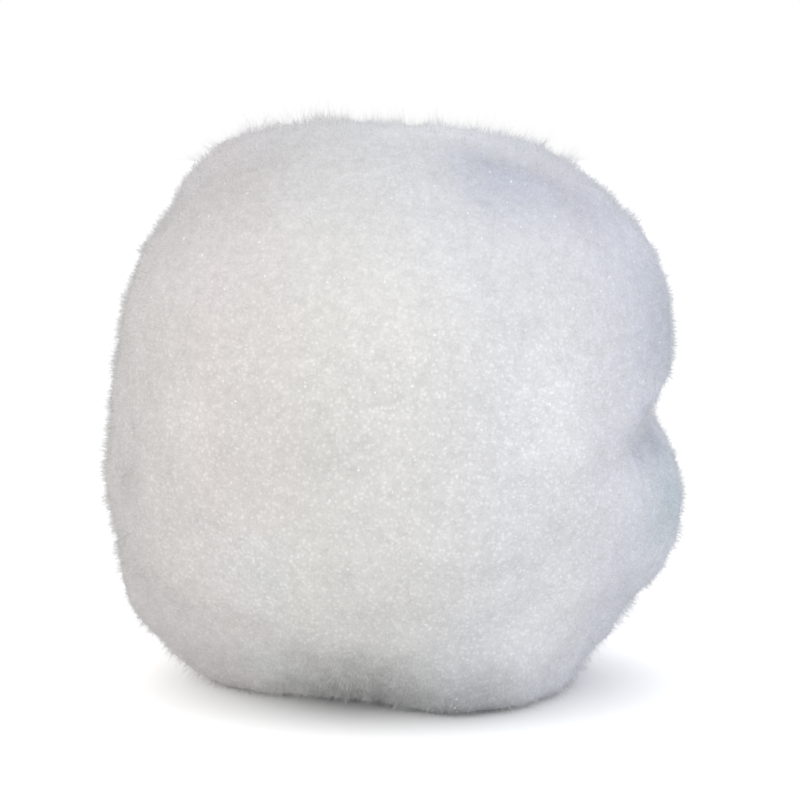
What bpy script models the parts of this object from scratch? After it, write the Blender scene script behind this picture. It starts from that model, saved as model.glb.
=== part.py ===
"""Wad of hollow fibre stuffing: loose white crimped polyester fibre, set down as it came from the bag.

Metres, +Z up. The front is -Y, and +X is the viewer's right. The origin is the middle of the underside, on
the surface that the wad rests on. The fibre is one tangled mass, so the wad is one soft solid: a boxy ball
that swells where tufts bunch up, is creased where its loose end is tucked under at the right, and is pressed
flat beneath by its own weight.
"""

import math
from collections import namedtuple

import bmesh
import bpy
from mathutils import Vector, noise

MM = 0.001

# Driving dimensions of the body, before tufts stand out of it and its weight flattens it
BODY_WIDTH = 105.5 * MM
BODY_DEPTH = 97.0 * MM
BODY_HEIGHT = 108.0 * MM
BODY_SQUARENESS = 2.45  # 2 gives an ellipsoid, and more gives a boxier ball
PRESSED_FLAT = 3.2 * MM  # how far the weight pushes the underside up

# The skin is a net of even squares on a ball, with this many to each side of the cube that it starts from
NET_SQUARES = 30
CLEAR_OF_CUT = 0.4 * MM  # no corner of the net is left nearer to the level it is cut at than this

# Billows are the soft lumps that run all over, and tufts the smaller bunches of fibre on them
BILLOW_ACROSS = 21.0 * MM
BILLOW_STAND = 1.6 * MM
TUFT_ACROSS = 7.5 * MM
TUFT_STAND = 0.95 * MM
CALM_DEPTH = 4.0 * MM  # a crease this deep draws its tufts smooth
CALM_RISE = (-46, -60)  # and the wad's weight presses them smooth from the first to the second of these angles
CALM = 0.7  # how much of them goes there

# Where on the skin something lies: turn is degrees round from the front towards the right, and rise is
# degrees up from the level of the body's middle. A swell with a negative stand is a hollow.
Swell = namedtuple("Swell", "turn rise across stand")
SWELLS = {
    "lower_right_lobe": Swell(turn=84, rise=-23, across=46 * MM, stand=4.0 * MM),
    "lower_right_foot": Swell(turn=76, rise=-56, across=42 * MM, stand=5.0 * MM),
    "front_right_foot": Swell(turn=44, rise=-60, across=46 * MM, stand=6.0 * MM),
    "upper_right_shoulder": Swell(turn=84, rise=30, across=56 * MM, stand=3.0 * MM),
    "lower_left_bulge": Swell(turn=-84, rise=-42, across=54 * MM, stand=2.0 * MM),
    "lower_left_tuft": Swell(turn=-84, rise=-36, across=26 * MM, stand=2.4 * MM),
    "lower_left_foot": Swell(turn=-74, rise=-62, across=42 * MM, stand=4.4 * MM),
    "upper_left_slope": Swell(turn=-84, rise=48, across=50 * MM, stand=-0.4 * MM),
    "upper_left_tuft": Swell(turn=-80, rise=62, across=22 * MM, stand=1.1 * MM),
    "front_belly": Swell(turn=4, rise=-8, across=84 * MM, stand=2.4 * MM),
    "front_foot": Swell(turn=4, rise=-56, across=50 * MM, stand=1.4 * MM),
    "front_toe": Swell(turn=27, rise=-54, across=40 * MM, stand=2.4 * MM),
    "crown_hollow": Swell(turn=58, rise=60, across=30 * MM, stand=-1.8 * MM),
    "crown_dip": Swell(turn=134, rise=78, across=42 * MM, stand=-2.2 * MM),
    "crown_tuft": Swell(turn=106, rise=64, across=14 * MM, stand=1.6 * MM),
    "left_flank_hollow": Swell(turn=-88, rise=20, across=66 * MM, stand=-2.0 * MM),
    "back_shoulder": Swell(turn=168, rise=34, across=66 * MM, stand=2.6 * MM),
    "back_hollow": Swell(turn=-150, rise=2, across=40 * MM, stand=-1.8 * MM),
    "back_belly": Swell(turn=158, rise=-30, across=60 * MM, stand=2.0 * MM),
}

# A crease is a valley between two tufts. It is deepest between its ends and fades out at both.
Crease = namedtuple("Crease", "start end across depth")
CREASES = {
    "tucked_end": Crease(start=(44, -9), end=(140, 14), across=18 * MM, depth=7.4 * MM),
    "under_lobe": Crease(start=(40, -44), end=(128, -38), across=15 * MM, depth=2.0 * MM),
    "left_shingle": Crease(start=(-52, 44), end=(-124, 22), across=24 * MM, depth=1.6 * MM),
    "back_lap": Crease(start=(150, 52), end=(-140, -26), across=28 * MM, depth=2.4 * MM),
}
CREASE_ROUNDING = 0.34  # how much of a crease's half width its bottom is rounded over

FIBRE_COLOUR = (0.78, 0.77, 0.76, 1.0)
FIBRE_ROUGHNESS = 0.85


def clear_scene():
    for old in list(bpy.data.objects):
        bpy.data.objects.remove(old, do_unlink=True)


def direction(turn, rise):
    """The unit vector from the body's middle at these two angles, in degrees."""
    turn, rise = math.radians(turn), math.radians(rise)
    return Vector((math.sin(turn) * math.cos(rise), -math.cos(turn) * math.cos(rise), math.sin(rise)))


def body_reach(way):
    """How far the boxy ball reaches from its middle along a unit vector."""
    halves = (BODY_WIDTH / 2, BODY_DEPTH / 2, BODY_HEIGHT / 2)
    share = sum(abs(part / half) ** BODY_SQUARENESS for part, half in zip(way, halves))
    return share ** (-1 / BODY_SQUARENESS)


def dome(distance, across):
    """1 at the middle, falling smoothly to 0 half of across away."""
    share = min(distance / (across / 2), 1.0)
    return (1 - share * share) ** 2


def valley(share):
    """1 at the bottom of a crease, rising straight-sided from a rounded bottom to 0 where share is 1."""
    climb = math.hypot(share, CREASE_ROUNDING) - CREASE_ROUNDING
    return max(0.0, 1 - climb / (math.hypot(1, CREASE_ROUNDING) - CREASE_ROUNDING)) ** 1.4


def swelling(way, reach):
    """How far the named swells lift the skin."""
    lift = 0.0
    for swell in SWELLS.values():
        away = way.angle(direction(swell.turn, swell.rise)) * reach
        lift += swell.stand * dome(away, swell.across)
    return lift


def creasing(way, reach):
    """How far the creases draw the skin in."""
    drawn = 0.0
    for crease in CREASES.values():
        start, end = direction(*crease.start), direction(*crease.end)
        span = start.angle(end)
        side = start.cross(end).normalized()
        along_way = side.cross(start)
        along = math.atan2(way.dot(along_way), way.dot(start)) / span
        if 0 < along < 1:
            away = math.asin(max(-1.0, min(1.0, way.dot(side)))) * reach / (crease.across / 2)
            drawn += crease.depth * valley(away) * math.sin(math.pi * along) ** 0.8
    return drawn


def relief(point):
    """The billows and tufts of loose fibre at a point of the skin."""
    billow = BILLOW_STAND * noise.noise(point / BILLOW_ACROSS)
    tuft = TUFT_STAND * noise.fractal(point / TUFT_ACROSS, 0.9, 2.1, 2)
    return billow + tuft


def calmed(way, drawn):
    """How much of the relief is left where fibre is drawn into a crease or pressed flat beneath."""
    first, second = CALM_RISE
    pressed = (math.degrees(math.asin(way.z)) - first) / (second - first)
    return 1 - CALM * min(1.0, max(drawn / CALM_DEPTH, pressed, 0.0))


def skin_point(way):
    """The point of the skin along a unit vector from the body's middle."""
    reach = body_reach(way)
    drawn = creasing(way, reach)
    reach += swelling(way, reach) - drawn
    return way * (reach + relief(way * reach) * calmed(way, drawn))


def ball_net(crease):
    """A closed net of even squares round a unit ball, made from a subdivided cube. One of its middle rings
    is turned to run along the bottom of this crease, so that the crease comes out clean."""
    net = bmesh.new()
    bmesh.ops.create_cube(net, size=2)
    bmesh.ops.subdivide_edges(net, edges=net.edges, cuts=NET_SQUARES - 1, use_grid_fill=True)
    for vert in net.verts:
        # Equal angles in place of equal steps keep the squares alike over the whole ball.
        vert.co = Vector([math.tan(part * math.pi / 4) for part in vert.co]).normalized()
    pole = direction(*crease.start).cross(direction(*crease.end)).normalized()
    turned = Vector((0, 0, 1)).rotation_difference(pole)
    for vert in net.verts:
        vert.co.rotate(turned)
    return net


def press_flat(skin):
    """Cuts the skin off level where the wad rests, and closes it with one flat face."""
    for vert in skin.verts:
        vert.co.z = math.copysign(max(abs(vert.co.z), CLEAR_OF_CUT), vert.co.z)
    everything = skin.verts[:] + skin.edges[:] + skin.faces[:]
    bmesh.ops.bisect_plane(
        skin, geom=everything, dist=1e-7, plane_co=(0, 0, 0), plane_no=(0, 0, 1), clear_inner=True
    )
    rim = [edge for edge in skin.edges if edge.is_boundary]
    for edge in rim:
        for vert in edge.verts:
            vert.co.z = 0
    bmesh.ops.contextual_create(skin, geom=rim)


def centre_on_origin(skin):
    """Moves the middle of the wad's own width and depth onto the origin."""
    for axis in (0, 1):
        places = [vert.co[axis] for vert in skin.verts]
        shift = (min(places) + max(places)) / 2
        for vert in skin.verts:
            vert.co[axis] -= shift


def fibre_material():
    """Siliconised hollow polyester fibre: white, soft and matt from a step away."""
    material = bpy.data.materials.new("hollow_fibre")
    material.use_nodes = True
    shader = material.node_tree.nodes["Principled BSDF"]
    shader.inputs["Base Color"].default_value = FIBRE_COLOUR
    shader.inputs["Roughness"].default_value = FIBRE_ROUGHNESS
    shader.inputs["Metallic"].default_value = 0.0
    return material


def fibre_wad():
    """The whole lump, skin and fill as one closed solid, resting on the level of the origin."""
    skin = ball_net(CREASES["tucked_end"])
    middle = Vector((0, 0, BODY_HEIGHT / 2 - PRESSED_FLAT))
    for vert in skin.verts:
        vert.co = middle + skin_point(vert.co.copy())
    press_flat(skin)
    centre_on_origin(skin)
    bmesh.ops.recalc_face_normals(skin, faces=skin.faces)
    mesh = bpy.data.meshes.new("fibre_wad")
    skin.to_mesh(mesh)
    skin.free()
    mesh.shade_smooth()
    mesh.materials.append(fibre_material())
    wad = bpy.data.objects.new("fibre_wad", mesh)
    bpy.context.scene.collection.objects.link(wad)
    return wad


clear_scene()
fibre_wad()
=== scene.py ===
"""Looks of the wad of hollow fibre stuffing, in metres and in the CAD model's frame.

The wad is made as it is in life: a matted core, fibres that lie crimped and tangled over it, fibres
that stand off it as the fuzz round its outline, and the few flat spots on them that catch the light,
which are white nubs painted as highlights.
"""

import math
from collections import namedtuple

import bmesh
import bpy
import numpy as np
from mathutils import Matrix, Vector, noise
from mathutils.bvhtree import BVHTree


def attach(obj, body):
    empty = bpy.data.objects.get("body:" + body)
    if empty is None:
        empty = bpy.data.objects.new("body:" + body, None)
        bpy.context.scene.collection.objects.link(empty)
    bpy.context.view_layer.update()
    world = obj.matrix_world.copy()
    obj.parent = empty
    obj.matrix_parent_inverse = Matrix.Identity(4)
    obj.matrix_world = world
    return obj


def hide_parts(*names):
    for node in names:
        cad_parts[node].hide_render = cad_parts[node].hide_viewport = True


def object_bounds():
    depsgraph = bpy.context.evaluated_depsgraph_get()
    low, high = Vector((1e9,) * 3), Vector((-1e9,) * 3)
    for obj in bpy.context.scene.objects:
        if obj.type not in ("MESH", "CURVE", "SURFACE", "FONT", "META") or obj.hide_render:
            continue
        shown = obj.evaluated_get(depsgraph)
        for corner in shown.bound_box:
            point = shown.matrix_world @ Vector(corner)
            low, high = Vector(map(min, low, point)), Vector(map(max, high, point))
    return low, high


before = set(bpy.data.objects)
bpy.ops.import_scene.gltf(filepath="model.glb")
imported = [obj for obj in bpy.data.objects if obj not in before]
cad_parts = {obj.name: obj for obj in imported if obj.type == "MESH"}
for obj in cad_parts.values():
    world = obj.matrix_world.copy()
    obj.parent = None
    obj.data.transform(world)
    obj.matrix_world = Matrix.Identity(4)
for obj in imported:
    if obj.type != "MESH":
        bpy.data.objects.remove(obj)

MM = 0.001
NODE = "fibre_wad"
BODY = "root"

CAD_LOW, CAD_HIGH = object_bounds()
MIDDLE = (CAD_LOW + CAD_HIGH) / 2
FLOOR_LEVEL = CAD_LOW.z
AROUND = (CAD_HIGH - CAD_LOW).length / math.sqrt(3) / 2  # the radius of a ball of about the wad's size
WHITE = (1, 1, 1, 1)


def linear(hex_colour):
    """The linear colour of an sRGB hex value such as #E6E5E3."""
    parts = [int(hex_colour[place:place + 2], 16) / 255 for place in (1, 3, 5)]
    curved = [part / 12.92 if part <= 0.04045 else ((part + 0.055) / 1.055) ** 2.4 for part in parts]
    return (*curved, 1.0)


def add_node(tree, kind, links=None, values=None, **settings):
    """Adds one shader node with its settings, its sockets' values and the sockets that feed it."""
    made = tree.nodes.new("ShaderNode" + kind)
    for name, value in settings.items():
        setattr(made, name, value)
    for socket, value in (values or {}).items():
        made.inputs[socket].default_value = value
    for socket, source in (links or {}).items():
        tree.links.new(source, made.inputs[socket])
    return made


# The core and the skin that the fibres follow


CORE_SQUARES = 72  # to each side of the cube that the core's net starts from
CORE_INSET = 0.55 * MM  # the loose fibre over the core fills this much
SMOOTHING_ROUNDS = 4
LOCKS = ((6.5 * MM, 0.50 * MM), (3.2 * MM, 0.34 * MM))  # how far across locks are, and their relief
LOOSE_TUFTS = (  # the middle of each, how far across it is and how far it stands off the skin
    (Vector((-44, -4, 9)) * MM, 32 * MM, 1.9 * MM),
    (Vector((-46, -2, 84)) * MM, 26 * MM, 1.2 * MM),
    (Vector((-34, 0, 98)) * MM, 22 * MM, 1.0 * MM),
)
CORE_SOFTNESS = 0.75  # light scatters in loose fibre, so the locks hardly shade but show in outline


def ball_net(squares):
    """A closed net of even squares round a unit ball."""
    net = bmesh.new()
    bmesh.ops.create_cube(net, size=2)
    bmesh.ops.subdivide_edges(net, edges=net.edges, cuts=squares - 1, use_grid_fill=True)
    for vert in net.verts:
        vert.co = Vector([math.tan(part * math.pi / 4) for part in vert.co]).normalized()
    return net


def tree_of(mesh):
    """A search tree of a mesh's faces."""
    places = [vert.co for vert in mesh.vertices]
    return BVHTree.FromPolygons(places, [face.vertices for face in mesh.polygons])


def smoothed(net, reach):
    """The net's reach from the middle, evened out with its neighbours' so that no facet shows."""
    net.edges.ensure_lookup_table()
    ends = np.array([[vert.index for vert in edge.verts] for edge in net.edges])
    neighbours = np.bincount(ends.ravel(), minlength=len(reach))
    for _ in range(SMOOTHING_ROUNDS):
        total = np.bincount(ends[:, 0], reach[ends[:, 1]], len(reach))
        total += np.bincount(ends[:, 1], reach[ends[:, 0]], len(reach))
        reach = 0.5 * reach + 0.5 * total / neighbours
    return reach


def lock_relief(point):
    """How far small locks and loose tufts of fibre stand at this point of the skin."""
    relief = sum(stand * noise.noise(point / across) for across, stand in LOCKS)
    for middle, across, stand in LOOSE_TUFTS:
        share = min(2 * (point - middle).length / across, 1)
        relief += stand * (1 - share * share) ** 2
    return relief


def matted_core(solid):
    """The matted middle of the wad, a little inside the CAD solid's skin, and its mesh without locks."""
    net = ball_net(CORE_SQUARES)
    net.verts.index_update()
    faces = tree_of(solid.data)
    ways = [vert.co.copy() for vert in net.verts]
    reach = smoothed(net, np.array([faces.ray_cast(MIDDLE, way)[3] for way in ways])) - CORE_INSET
    smooth = bpy.data.meshes.new("smooth_core")
    net.to_mesh(smooth)
    net.free()
    mesh = smooth.copy()
    mesh.name = "matted_core"
    for shape, relief in ((smooth, 0), (mesh, 1)):
        for vert, way, length in zip(shape.vertices, ways, reach):
            vert.co = MIDDLE + way * (length + relief * lock_relief(MIDDLE + way * length))
            vert.co.z = max(vert.co.z, FLOOR_LEVEL)
        shape.shade_smooth()
    soft = np.array([vector.vector for vector in smooth.vertex_normals])
    own = np.array([vector.vector for vector in mesh.vertex_normals])
    shading = unit(soft * CORE_SOFTNESS + own * (1 - CORE_SOFTNESS))
    mesh.normals_split_custom_set_from_vertices(shading.tolist())
    core = bpy.data.objects.new("matted_core", mesh)
    bpy.context.scene.collection.objects.link(core)
    return core, smooth


def unit(vectors):
    """The vectors, each made 1 long."""
    return vectors / np.maximum(np.linalg.norm(vectors, axis=-1, keepdims=True), 1e-12)


class Skin:
    """The core's surface, as the fibres on it need it."""

    def __init__(self, core, smooth):
        self.core = tree_of(core.data)
        self.smooth = tree_of(smooth)

    def under(self, ways):
        """The core's points along these ways from the middle, and the outward normals without locks."""
        flat = [Vector(way) for way in ways.reshape(-1, 3).tolist()]
        points = np.array([self.core.ray_cast(MIDDLE, way)[0] for way in flat]).reshape(ways.shape)
        normals = np.array([self.smooth.ray_cast(MIDDLE, way)[1] for way in flat]).reshape(ways.shape)
        return points, unit(normals)


# Fibres


SEED = 7

CURLS = 5000
CURL_THICKNESS = 0.13 * MM  # the real fibre's 0.03 mm is less than half a pixel and would vanish
CURL_LENGTH = 2.2 * MM
CURL_STEP = 0.27 * MM
CURL_RADII = (0.25 * MM, 0.9 * MM)
CURL_BENDS = (0.3, 1.7)  # the least and most that one step of a curl bends, next to the others
CURL_LIFT = 0.35 * MM  # how far the highest curls arch over the skin
CURL_LIFTS = (0.3, 1.0)  # the share of this that the lowest and highest have
CURL_DIP = 0.35  # and the share by which their ends go under the skin
CURL_WAVE = 0.35  # on the way they wave up and down by this share
CURL_WAVES = (1, 3)  # so many times
CURL_TAPER = (0.2, 1.6)  # a curl's width where it ends, and how quickly it widens from there
CURL_SOFTNESS = 0.75  # how far a curl is shaded as the skin under it

Layer = namedtuple("Layer", "name count stand thickness segments")
FUZZ = (  # these fibres are drawn coarser than real ones too
    Layer("fuzz_underlayer", 48000, 1.1 * MM, 0.08 * MM, 1),
    Layer("fuzz_middle_layer", 49000, 1.5 * MM, 0.08 * MM, 1),
    Layer("fuzz_top_layer", 49000, 1.9 * MM, 0.07 * MM, 1),
    Layer("fuzz_halo", 64000, 2.7 * MM, 0.045 * MM, 1),
    Layer("loose_ends", 4500, 2.3 * MM, 0.05 * MM, 2),
)
TUFTS_ACROSS = 3.4 * MM  # the fuzz stands in tufts of about this size
TUFT_STAND = (0.8, 1.9)  # the share of its stand that a fibre has, and how much more or less by tufts
TUFT_LIMITS = (0.3, 1.6)
FUZZ_LENGTHS = (0.5, 1.3)  # the shortest and longest fibres in one place
FUZZ_LEANS = (0, 60)  # degrees from upright
FUZZ_TWIST = 0.5  # how far the axis that a fibre bends about strays where it leaves the skin
FUZZ_WANDER = 0.2  # and how far at each segment
FUZZ_CURVES = (0.1, 0.7)  # radians that the straightest and most curved fibres bend by at each segment
FUZZ_BENDS = (0.4, 1.6)  # the least and most that one segment bends, next to the others
FUZZ_SOFTNESS = 0.2  # how far a fibre is shaded as the skin under it
NEEDLE_SIDES = 3
NEEDLE_TAPER = 0.6  # how much of its thickness a needle loses towards its tip

GLINTS = 1200
GLINT_ACROSS = 0.24 * MM
GLINT_SIZES = (0.6, 1.5)  # the smallest and largest, next to this
GLINT_SKEW = 1.5  # most are small
GLINT_STRETCHES = (1.0, 1.8)  # how long they are for their width
GLINT_FLATNESS = 0.3
GLINT_RISES = (0.3, 0.9)  # millimetres over the skin

CELL_EDGE = 0.2  # how much of its cell of the UV map a fibre leaves free at each side
TIP = "near_tip"  # the mesh attribute that holds how near each corner is to a fibre's free end


def turned(vectors, axes, angles):
    """The vectors, turned about unit axes by these angles."""
    cosine, sine = np.cos(angles)[..., None], np.sin(angles)[..., None]
    along = np.sum(axes * vectors, axis=-1, keepdims=True)
    return vectors * cosine + np.cross(axes, vectors) * sine + axes * along * (1 - cosine)


def scattered_ways(count, rng):
    """Even ways out of the middle."""
    return unit(rng.normal(size=(count, 3)))


def sideways(ways, rng):
    """A random unit vector at right angles to each way."""
    return unit(np.cross(ways, rng.normal(size=ways.shape)))


def curled_fibres(skin, rng):
    """Short stretches of crimped fibre that curl about over the skin and dip in and out of it."""
    points_each = int(CURL_LENGTH / CURL_STEP) + 1
    way = scattered_ways(CURLS, rng)
    heading = sideways(way, rng)
    bend = CURL_STEP / rng.uniform(*CURL_RADII, CURLS) * rng.choice((-1, 1), CURLS)
    ways = []
    for _ in range(points_each):
        ways.append(way)
        heading = turned(heading, way, bend * rng.uniform(*CURL_BENDS, CURLS))
        way = unit(way + heading * (CURL_STEP / AROUND))
        heading = unit(heading - way * np.sum(heading * way, axis=1, keepdims=True))
    points, normals = skin.under(np.stack(ways, axis=1))
    along = np.linspace(0, 1, points_each)
    arch = np.sin(math.pi * along) - CURL_DIP
    waves = rng.uniform(*CURL_WAVES, (CURLS, 1))
    first = rng.uniform(0, 1, (CURLS, 1))
    wave = CURL_WAVE * np.sin(2 * math.pi * (along * waves + first))
    rise = CURL_LIFT * rng.uniform(*CURL_LIFTS, (CURLS, 1)) * (arch + wave)
    return points + normals * rise[..., None], normals


def sprung_fibres(skin, layer, rng):
    """Fine loose ends that spring off the skin in tufts. Those of more than one segment curl over."""
    count, segments = layer.count, layer.segments
    start, normal = skin.under(scattered_ways(count, rng))
    side = sideways(normal, rng)
    tufts = np.array([noise.noise(Vector(point) / TUFTS_ACROSS) for point in start.tolist()])
    share = np.clip(TUFT_STAND[0] + TUFT_STAND[1] * tufts, *TUFT_LIMITS)
    length = layer.stand * share * rng.uniform(*FUZZ_LENGTHS, count)
    angle = np.radians(rng.uniform(*FUZZ_LEANS, count))
    heading = unit(normal * np.cos(angle)[:, None] + side * np.sin(angle)[:, None])
    axis = unit(np.cross(normal, side) + FUZZ_TWIST * rng.normal(size=side.shape))
    step = length / segments
    bend = rng.uniform(*FUZZ_CURVES, count)
    point = start
    points = []
    for _ in range(segments + 1):
        points.append(point)
        point = point + heading * step[:, None]
        axis = unit(axis + FUZZ_WANDER * rng.normal(size=axis.shape))
        heading = unit(turned(heading, axis, bend * rng.uniform(*FUZZ_BENDS, count)))
    normals = np.repeat(normal[:, None], segments + 1, axis=1)
    return np.stack(points, axis=1), normals


def kept_above_floor(points):
    """The points, with none of them left under the floor."""
    points[..., 2] = np.maximum(points[..., 2], FLOOR_LEVEL)
    return points


def let_light_through(name, mesh, material):
    """The piece of this mesh. Its fibres are clear and thin in life, so they don't shade the wad."""
    mesh.materials.append(material)
    piece = bpy.data.objects.new(name, mesh)
    piece.visible_shadow = False
    piece.visible_diffuse = False
    bpy.context.scene.collection.objects.link(piece)
    return piece


def lay_out(mesh, count, length, corners, each):
    """A UV map with a square cell for each fibre, so that the colour of each bakes by itself."""
    corner = np.empty(len(mesh.loops), dtype=np.int32)
    mesh.loops.foreach_get("vertex_index", corner)
    fibre, place = corner // each, corner % each
    row, spoke = place // corners, place % corners
    cells = math.ceil(math.sqrt(count))
    across = CELL_EDGE + (1 - 2 * CELL_EDGE) * spoke / (corners - 1)
    along = CELL_EDGE + (1 - 2 * CELL_EDGE) * row / (length - 1)
    places = np.stack([(fibre % cells + across) / cells, (fibre // cells + along) / cells], axis=1)
    layer = mesh.uv_layers.new(name="OFBake")
    layer.data.foreach_set("uv", places.ravel())


def frames_along(points, normals):
    """At each point of each fibre, the directions that are up off the skin and sideways along it."""
    tangents = unit(np.gradient(points, axis=1))
    up = unit(normals - tangents * np.sum(normals * tangents, axis=-1, keepdims=True))
    return up, np.cross(tangents, up)


def fibre_piece(name, corners, shading, tips, faces, layout, material):
    """The piece that has these corners, each with an outward vector to be shaded by. The tips say how
    near each corner of a fibre is to its free end."""
    mesh = bpy.data.meshes.new(name)
    mesh.from_pydata(kept_above_floor(corners).reshape(-1, 3).tolist(), [], faces)
    mesh.shade_smooth()
    lay_out(mesh, *layout)
    near_tip = mesh.attributes.new(TIP, "FLOAT", "POINT")
    near_tip.data.foreach_set("value", np.tile(tips, layout[0]).astype(np.float32))
    mesh.normals_split_custom_set_from_vertices(unit(shading).reshape(-1, 3).tolist())
    return let_light_through(name, mesh, material)


def strips(name, points, normals, material):
    """One mesh of many fibres that lie along the skin, each a narrow strip that faces outward."""
    count, length, _ = points.shape
    up, side = frames_along(points, normals)
    end, widening = CURL_TAPER
    taper = np.minimum(1, widening * (1 - np.linspace(0, 1, length)) + end)[None, :, None]
    reach = side * CURL_THICKNESS / 2 * taper
    corners = np.stack([points - reach, points + reach], axis=2)
    shading = normals * CURL_SOFTNESS + up * (1 - CURL_SOFTNESS)
    here = np.arange(count)[:, None] * length * 2 + np.arange(length - 1) * 2
    faces = np.stack([here, here + 1, here + 3, here + 2], axis=-1).reshape(-1, 4).tolist()
    shading = np.repeat(shading[:, :, None], 2, axis=2)
    each = length * 2
    return fibre_piece(name, corners, shading, [0.0] * each, faces, (count, length, 2, each), material)


def needles(layer, points, normals, material):
    """One mesh of many fibres that stand off the skin, each a needle with its open foot in the core."""
    count, length, _ = points.shape
    up, side = frames_along(points, normals)
    corners, shading, tips = [], [], []
    for row in range(length - 1):
        radius = layer.thickness / 2 * (1 - NEEDLE_TAPER * row / (length - 1))
        for spoke in range(NEEDLE_SIDES):
            angle = math.radians(90 - 360 / NEEDLE_SIDES * spoke)
            way = up[:, row] * math.sin(angle) + side[:, row] * math.cos(angle)
            corners.append(points[:, row] + way * radius)
            shading.append(normals[:, row] * FUZZ_SOFTNESS + way * (1 - FUZZ_SOFTNESS))
            tips.append(row / (length - 1))
    corners.append(points[:, -1])
    shading.append(normals[:, -1])
    tips.append(1.0)
    each = len(corners)
    ring = [(spoke, (spoke + 1) % NEEDLE_SIDES) for spoke in range(NEEDLE_SIDES)]
    faces = []
    for row in range(length - 2):
        low, high = row * NEEDLE_SIDES, (row + 1) * NEEDLE_SIDES
        faces += [(low + one, low + two, high + two, high + one) for one, two in ring]
    last = each - 1 - NEEDLE_SIDES
    faces += [(last + one, last + two, each - 1) for one, two in ring]
    firsts = range(0, count * each, each)
    faces = [tuple(first + corner for corner in face) for first in firsts for face in faces]
    corners, shading = np.stack(corners, axis=1), np.stack(shading, axis=1)
    layout = (count, length, NEEDLE_SIDES, each)
    return fibre_piece(layer.name, corners, shading, tips, faces, layout, material)


def glints(skin, rng):
    """Small closed nubs, painted white as highlights where a single fibre turns a flat side to the light.
    """
    net = bmesh.new()
    bmesh.ops.create_icosphere(net, subdivisions=1, radius=1)
    nub = np.array([vert.co for vert in net.verts])
    sides = np.array([[vert.index for vert in face.verts] for face in net.faces])
    net.free()
    points, normals = skin.under(scattered_ways(GLINTS, rng))
    along = sideways(normals, rng)
    across = np.cross(normals, along)
    half = GLINT_ACROSS / 2 * rng.uniform(*GLINT_SIZES, (GLINTS, 1)) ** GLINT_SKEW
    stretch = rng.uniform(*GLINT_STRETCHES, (GLINTS, 1))
    middle = points + normals * rng.uniform(*GLINT_RISES, (GLINTS, 1)) * MM
    spans = (along * (half * stretch), across * half, normals * (half * GLINT_FLATNESS))
    corners = sum(nub[None, :, place, None] * span[:, None] for place, span in enumerate(spans))
    corners = kept_above_floor(corners + middle[:, None])
    faces = sides[None] + np.arange(GLINTS)[:, None, None] * len(nub)
    mesh = bpy.data.meshes.new("glinting_fibres")
    mesh.from_pydata(corners.reshape(-1, 3).tolist(), [], faces.reshape(-1, 3).tolist())
    mesh.shade_smooth()
    mesh.normals_split_custom_set_from_vertices(np.repeat(normals, len(nub), axis=0).tolist())
    return let_light_through("glinting_fibres", mesh, glint_material())


# Materials


# Painted light: the fibre's white is painted darker towards both sides, warmer at the left and cooler at
# the right, as the room's light falls on it.
TINTS = (  # from the left to the right
    (0.0, "#E2E0DE"), (0.22, "#E8E2DF"), (0.38, "#E8E6E1"), (0.52, "#E9E8E5"), (0.66, "#E8E8E9"),
    (0.80, "#E7E7EA"), (0.88, "#E3E4EB"), (1.0, "#DFE3E9"),
)
HEIGHT_TINTS = (  # cooler at the foot and the crown
    (0.0, "#FAFCFF"), (0.22, "#FFFFFF"), (0.68, "#FFFFFF"), (1.0, "#F6F8FF"),
)
NOISE_RANGE = (0.3, 0.7)  # nearly all of a noise lies between these
BUNCH_ACROSS = 2.2 * MM  # fibres bunch into lighter and darker specks, of this size and finer
MOTTLING = 0.08
CRIMP_ACROSS = 0.9 * MM  # and each crimp's bend shows as a pale dot, one to about this much of the skin
CRIMP_DOT = (0.1, 0.5)  # the shares of this that a dot fades between
CRIMP_TONES = (1.08, 0.93)
CALM_RISE = (55 * MM, 90 * MM)  # the grain calms from the first to the second of these heights
CALM_SHARE = 0.5  # and loses this much of itself there
FIBRE_TONES = (0.91, 1.06)  # from the darkest fibre to the palest
# Painted light: fuzz is painted paler towards its tips, for the white light that a single clear fibre
# lets through.
TIP_PAINTED_LIGHT = 0.9  # a single clear fibre takes on the white round it, so fuzz pales towards its tips
SWIRL_ACROSS = 0.9 * MM  # drawn coarser than the threads of the real mat
SWIRL_TONES = (0.92, 1.0)
SWIRL_DEPTH = 0.15 * MM
GLINT_TONES = (0.88, 1.0)
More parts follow.
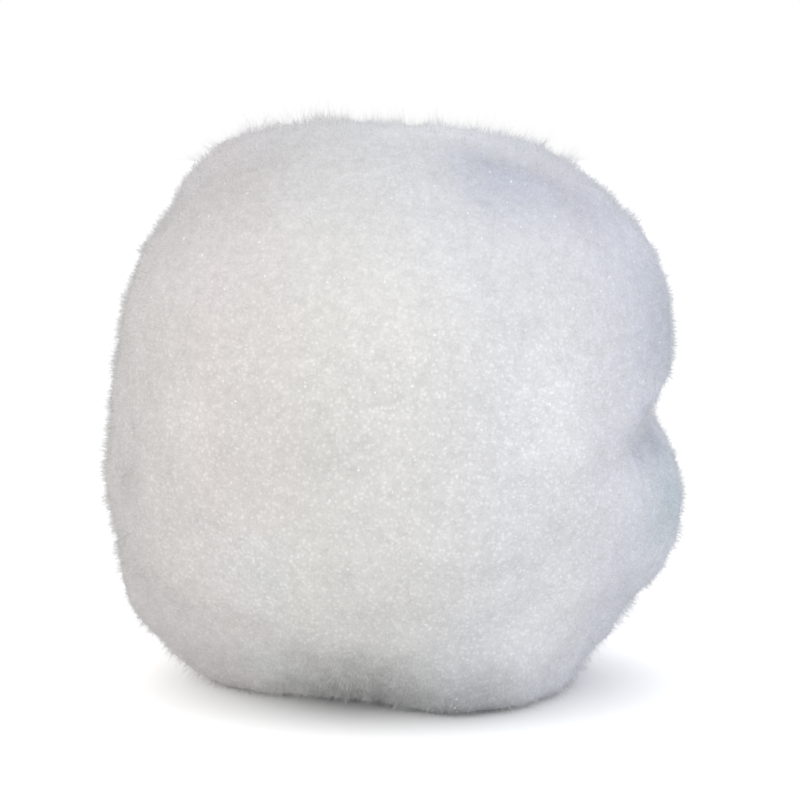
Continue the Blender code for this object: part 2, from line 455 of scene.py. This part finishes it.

# Painted light and shade: soft patches of the skin are painted paler where more light falls, and darker
# or cooler in the hollows, along the fold, at the right rim where the room is dimmer and cooler, and at
# the toes where the wad meets the floor. Each patch has its middle and its size across, in millimetres,
# and how much of red, green and blue it throws back.
Patch = namedtuple("Patch", "middle across gain")
PAINTED_LIGHT_AND_SHADE = {
    "crown": Patch((4, 0, 105), 58, (1.27, 1.27, 1.26)),
    "crown_hollow": Patch((19, -26, 96), 34, (0.80, 0.82, 0.88)),
    "right_slope": Patch((33, -21, 91), 28, (0.87, 0.87, 0.91)),
    "left_slope": Patch((-26, -26, 93), 32, (0.91, 0.90, 0.89)),
    "right_rim": Patch((49, -18, 68), 38, (0.78, 0.80, 0.84)),
    "right_fold": Patch((49, -13, 50), 22, (0.80, 0.82, 0.85)),
    "fold_lip": Patch((45, -27, 53), 13, (0.84, 0.85, 0.88)),
    "fold_depth": Patch((46, -8, 48), 20, (0.85, 0.86, 0.89)),
    "fold_end": Patch((44, -20, 47), 12, (0.86, 0.87, 0.90)),
    "right_lobe": Patch((52, -16, 36), 28, (0.79, 0.86, 0.87)),
    "right_flank": Patch((38, -32, 39), 24, (1.07, 1.07, 1.06)),
    "upper_front": Patch((0, -42, 78), 50, (1.05, 1.05, 1.05)),
    "left_shingle": Patch((-38, -27, 84), 22, (0.93, 0.93, 0.92)),
    "left_tuft": Patch((-36, -40, 55), 20, (1.10, 1.10, 1.09)),
    "left_rim": Patch((-48, -27, 42), 18, (0.88, 0.88, 0.88)),
    "lower_left_tuft": Patch((-24, -41, 28), 34, (1.03, 1.07, 1.08)),
    "lower_left_foot": Patch((-24, -30, 8), 26, (1.06, 1.10, 1.11)),
    "middle_hollow": Patch((-11, -46, 50), 26, (0.93, 0.93, 0.93)),
    "fold_shoulder": Patch((28, -43, 56), 34, (1.11, 1.11, 1.11)),
    "lower_middle": Patch((17, -42, 25), 18, (1.07, 1.07, 1.07)),
    "lower_right_foot": Patch((27, -33, 18), 36, (1.17, 1.17, 1.16)),
    "right_heel": Patch((34, -22, 7), 16, (1.09, 1.09, 1.08)),
    "left_toe": Patch((-7, -34, 3), 38, (0.69, 0.69, 0.69)),
    "right_toe": Patch((14, -33, 0), 32, (0.70, 0.70, 0.70)),
}


def spread(tree, source, low_high, to_low_high=(0.0, 1.0), way="LINEAR"):
    """The source, mapped so that the first two values become the second two."""
    (low, high), (to_low, to_high) = low_high, to_low_high
    limits = {"From Min": low, "From Max": high, "To Min": to_low, "To Max": to_high}
    return add_node(tree, "MapRange", {"Value": source}, limits, interpolation_type=way).outputs["Result"]


def multiplied(tree, one, other):
    """Each part of the one times the same part of the other."""
    return add_node(tree, "VectorMath", {0: one, 1: other}, operation="MULTIPLY").outputs["Vector"]


def with_painted_light_and_shade(tree, tint, place):
    """The tint, with the patches of painted light and shade laid over it."""
    for patch in PAINTED_LIGHT_AND_SHADE.values():
        middle = [part * MM for part in patch.middle]
        away = add_node(tree, "VectorMath", {0: place}, {1: middle}, operation="DISTANCE")
        share = spread(tree, away.outputs["Value"], (patch.across * MM / 2, 0.0), way="SMOOTHSTEP")
        gain = add_node(tree, "MixRGB", {"Fac": share}, {"Color1": WHITE, "Color2": (*patch.gain, 1)})
        tint = multiplied(tree, tint, gain.outputs["Color"])
    return tint


def tint_ramp(tree, source, low, high, tints):
    """These tints, one after the other as the source goes from low to high."""
    ramp = add_node(tree, "ValToRGB", {"Fac": spread(tree, source, (low, high))})
    ends = ramp.color_ramp.elements
    ends.remove(ends[1])
    for place, tint in tints:
        ends.new(place).color = linear(tint)
    ends.remove(ends[0])
    return ramp


def place_tint(tree, place):
    """The fibre's white, painted a touch warmer at the left and cooler at the right as the room's light
    falls, mottled as it bunches, with patches of painted light and shade over it.
    """
    parts = add_node(tree, "SeparateXYZ", {"Vector": place})
    ramp = tint_ramp(tree, parts.outputs["X"], CAD_LOW.x, CAD_HIGH.x, TINTS)
    crown = tint_ramp(tree, parts.outputs["Z"], CAD_LOW.z, CAD_HIGH.z, HEIGHT_TINTS)
    bunch = add_node(
        tree, "TexNoise", {"Vector": place}, {"Scale": 1 / BUNCH_ACROSS, "Detail": 3.0, "Roughness": 0.85}
    )
    mottle = spread(tree, bunch.outputs["Fac"], NOISE_RANGE, (1 - MOTTLING, 1 + MOTTLING))
    bend = add_node(tree, "TexVoronoi", {"Vector": place}, {"Scale": 1 / CRIMP_ACROSS}, feature="F1")
    dot = spread(tree, bend.outputs["Distance"], CRIMP_DOT, CRIMP_TONES, "SMOOTHSTEP")
    calm = spread(tree, parts.outputs["Z"], CALM_RISE, (0.0, CALM_SHARE), "SMOOTHSTEP")
    dot = add_node(tree, "MixRGB", {"Fac": calm, "Color1": dot}, {"Color2": WHITE})
    tint = ramp.outputs["Color"]
    for factor in (crown.outputs["Color"], mottle, dot.outputs["Color"]):
        tint = multiplied(tree, tint, factor)
    return with_painted_light_and_shade(tree, tint, place)


def new_material(name, roughness, gloss):
    """A material of this roughness and gloss, with its nodes and its shader."""
    material = bpy.data.materials.new(name)
    material.use_nodes = True
    shader = material.node_tree.nodes["Principled BSDF"]
    shader.inputs["Roughness"].default_value = roughness
    shader.inputs["Specular IOR Level"].default_value = gloss
    return material, material.node_tree, shader


def fibre_material():
    """Siliconised hollow fibre: white, each a little lighter or darker than the next."""
    material, tree, shader = new_material("hollow_fibre", roughness=0.6, gloss=0.3)
    tint = place_tint(tree, add_node(tree, "TexCoord").outputs["Object"])
    fibre = add_node(tree, "NewGeometry")
    shade = spread(tree, fibre.outputs["Random Per Island"], (0.0, 1.0), FIBRE_TONES)
    # Painted light: the fuzz is painted paler towards its tips.
    tip = add_node(tree, "Attribute", attribute_name=TIP)
    paleness = spread(tree, tip.outputs["Fac"], (0.0, 1.0), (0.0, TIP_PAINTED_LIGHT))
    pale = add_node(
        tree, "MixRGB", {"Fac": paleness, "Color1": multiplied(tree, tint, shade)}, {"Color2": WHITE}
    )
    tree.links.new(pale.outputs["Color"], shader.inputs["Base Color"])
    return material


def core_material():
    """Matted fibre: the same white, with threads that curl round each other in fine swirls."""
    material, tree, shader = new_material("matted_fibre", roughness=0.9, gloss=0.2)
    place = add_node(tree, "TexCoord").outputs["Object"]
    swirl = add_node(
        tree, "TexNoise", {"Vector": place},
        {"Scale": 1 / SWIRL_ACROSS, "Detail": 2.0, "Roughness": 0.6, "Distortion": 0.8},
    ).outputs["Fac"]
    shade = spread(tree, swirl, NOISE_RANGE, SWIRL_TONES)
    bump = add_node(tree, "Bump", {"Height": swirl}, {"Strength": 0.4, "Distance": SWIRL_DEPTH})
    tree.links.new(multiplied(tree, place_tint(tree, place), shade), shader.inputs["Base Color"])
    tree.links.new(bump.outputs["Normal"], shader.inputs["Normal"])
    return material


def glint_material():
    """Painted highlights where single fibres face the light: pure white and glossier."""
    material, tree, shader = new_material("glinting_fibre", roughness=0.35, gloss=0.5)
    fibre = add_node(tree, "NewGeometry")
    shade = spread(tree, fibre.outputs["Random Per Island"], (0.0, 1.0), GLINT_TONES)
    tree.links.new(shade, shader.inputs["Base Color"])
    return material


# Studio


FLOOR_ACROSS = 6  # metres
FLOOR_PAINT = "#F2F2F2"
FLOOR_LIFT = 0.5  # how much light the camera sees added to the floor, away from the wad
# Painted shade: the floor is painted darker in front of the wad for the light that it throws back on the
# wad, though the camera sees it white.
PAINTED_SHADE_COLOUR = "#C0C0C0"  # how pale the shaded floor is to the light that it throws back on the wad
# Each painted shade's middle, how much wider it is than deep, and the distances that it fades between.
# The contact shade is a painted shadow, where the floor's lift is held back round the wad; the bounce
# shade is painted shade, where the floor's paint is darker for the light thrown back on the wad's foot.
PAINTED_CONTACT_SHADOW = ((2 * MM, -10 * MM, 0), (1.4, 1, 1), 13 * MM, 48 * MM)
PAINTED_BOUNCE_SHADE = ((4 * MM, -32 * MM, 0), (1.0, 1, 1), 12 * MM, 52 * MM)
LEFT_LIGHT = "#F9F8F6"  # the light of the white room at the wad's left
RIGHT_LIGHT = "#DBDEE7"  # and at its right, where it is dimmer and cooler
ROOM_TURN = (-0.3, 0.7)  # how far to the right a direction points where the one gives way to the other
CAMERA_RISE = 8.0  # degrees above level
CAMERA_AWAY = 420 * MM
CAMERA_LENS = 100.0  # on a 36 mm wide sensor
AIM = Vector((1.1 * MM, 0, 52.4 * MM))


def away_from(turn, rise):
    """The unit vector at these degrees: round from the front towards the right, and up from level."""
    turn, rise = math.radians(turn), math.radians(rise)
    return Vector((math.sin(turn) * math.cos(rise), -math.cos(turn) * math.cos(rise), math.sin(rise)))


def floor_shade(tree, place, middle, shape, near, far):
    """0 within the near distance of the middle of a shade on the floor, rising to 1 at the far one."""
    offset = add_node(
        tree, "Mapping", {"Vector": place}, {"Location": middle, "Scale": shape}, vector_type="TEXTURE"
    )
    away = add_node(tree, "VectorMath", {0: offset.outputs["Vector"]}, operation="LENGTH")
    return spread(tree, away.outputs["Value"], (near, far), way="SMOOTHSTEP")


def floor_material():
    """A white studio floor, lifted to pure white for the camera alone. It keeps the wad's real shadow,
    and round the wad the lift is held back as a painted shadow.
    """
    material = bpy.data.materials.new("studio_floor")
    material.use_nodes = True
    tree = material.node_tree
    tree.nodes.clear()
    rays = add_node(tree, "LightPath")
    place = add_node(tree, "TexCoord").outputs["Object"]
    paint = add_node(tree, "BsdfDiffuse", values={"Color": linear(FLOOR_PAINT)})
    # Painted shadow: the lift is held back round the wad, so the floor darkens there beyond its real
    # shadow.
    lifting = add_node(
        tree, "Math", {0: floor_shade(tree, place, *PAINTED_CONTACT_SHADOW)}, {1: FLOOR_LIFT}, operation="MULTIPLY"
    )
    lift = add_node(tree, "Emission", {"Strength": lifting.outputs[0]}, {"Color": WHITE})
    seen = add_node(tree, "AddShader", {0: paint.outputs[0], 1: lift.outputs[0]})
    # Painted shade: to the light that it throws back on the wad, the floor is darker in front of the wad.
    ramp = add_node(tree, "ValToRGB", {"Fac": floor_shade(tree, place, *PAINTED_BOUNCE_SHADE)})
    ramp.color_ramp.elements[0].color = linear(PAINTED_SHADE_COLOUR)
    ramp.color_ramp.elements[1].color = linear(FLOOR_PAINT)
    unseen = add_node(tree, "BsdfDiffuse", {"Color": ramp.outputs["Color"]})
    both = add_node(
        tree, "MixShader", {0: rays.outputs["Is Camera Ray"], 1: unseen.outputs[0], 2: seen.outputs[0]}
    )
    add_node(tree, "OutputMaterial", {"Surface": both.outputs[0]})
    return material


def studio_floor():
    """A floor that reaches out of the picture all round."""
    bpy.ops.mesh.primitive_plane_add(size=FLOOR_ACROSS, location=(0, 0, FLOOR_LEVEL))
    floor = bpy.context.object
    floor.name = "studio_floor"
    floor.data.materials.append(floor_material())


def white_room():
    """A white backdrop that lights the wad softly from all round, less brightly than it shows."""
    world = bpy.data.worlds.new("white_room")
    bpy.context.scene.world = world
    world.use_nodes = True
    tree = world.node_tree
    tree.nodes.clear()
    rays = add_node(tree, "LightPath")
    seen = rays.outputs["Is Camera Ray"]
    for other in ("Is Glossy Ray", "Is Transmission Ray"):
        seen = add_node(tree, "Math", {0: seen, 1: rays.outputs[other]}, operation="MAXIMUM").outputs[0]
    place = add_node(tree, "TexCoord")
    parts = add_node(tree, "SeparateXYZ", {"Vector": place.outputs["Generated"]})
    unseen = add_node(
        tree, "MixRGB", {"Fac": spread(tree, parts.outputs["X"], ROOM_TURN)},
        {"Color1": linear(LEFT_LIGHT), "Color2": linear(RIGHT_LIGHT)},
    )
    light = add_node(tree, "MixRGB", {"Fac": seen, "Color1": unseen.outputs["Color"]}, {"Color2": WHITE})
    backdrop = add_node(tree, "Background", {"Color": light.outputs["Color"]}, {"Strength": 1.0})
    add_node(tree, "OutputWorld", {"Surface": backdrop.outputs[0]})


def softbox(name, turn, rise, away, size, power, colour):
    """A square lamp that looks at the wad's middle from these degrees, in metres and watts."""
    light = bpy.data.lights.new(name, "AREA")
    light.size = size
    light.energy = power
    light.color = linear(colour)[:3]
    lamp = bpy.data.objects.new(name, light)
    back = away_from(turn, rise)
    lamp.location = MIDDLE + back * away
    lamp.rotation_euler = back.to_track_quat("Z", "Y").to_euler()
    bpy.context.scene.collection.objects.link(lamp)


def studio_camera():
    """The camera, a little above the wad's middle and in front of it."""
    camera = bpy.data.cameras.new("camera")
    camera.lens = CAMERA_LENS
    holder = bpy.data.objects.new("camera", camera)
    back = away_from(0, CAMERA_RISE)
    holder.location = AIM + back * CAMERA_AWAY
    holder.rotation_euler = back.to_track_quat("Z", "Y").to_euler()
    bpy.context.scene.collection.objects.link(holder)
    bpy.context.scene.camera = holder


# The wad, piece by piece


def build_wad():
    """The core and all that lies on it and stands off it."""
    core, smooth = matted_core(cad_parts[NODE])
    core.data.materials.append(core_material())
    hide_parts(NODE)
    skin = Skin(core, smooth)
    bpy.data.meshes.remove(smooth)
    white = fibre_material()
    rng = np.random.default_rng(SEED)
    pieces = [core, strips("matted_curls", *curled_fibres(skin, rng), white)]
    for layer in FUZZ:
        pieces.append(needles(layer, *sprung_fibres(skin, layer, rng), white))
    pieces.append(glints(skin, rng))
    for piece in pieces:
        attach(piece, BODY)


build_wad()
studio_floor()
white_room()
softbox("front_softbox", turn=20, rise=8, away=0.9, size=0.4, power=1.55, colour="#FFFFFF")
studio_camera()
bpy.context.scene.view_settings.view_transform = "Standard"
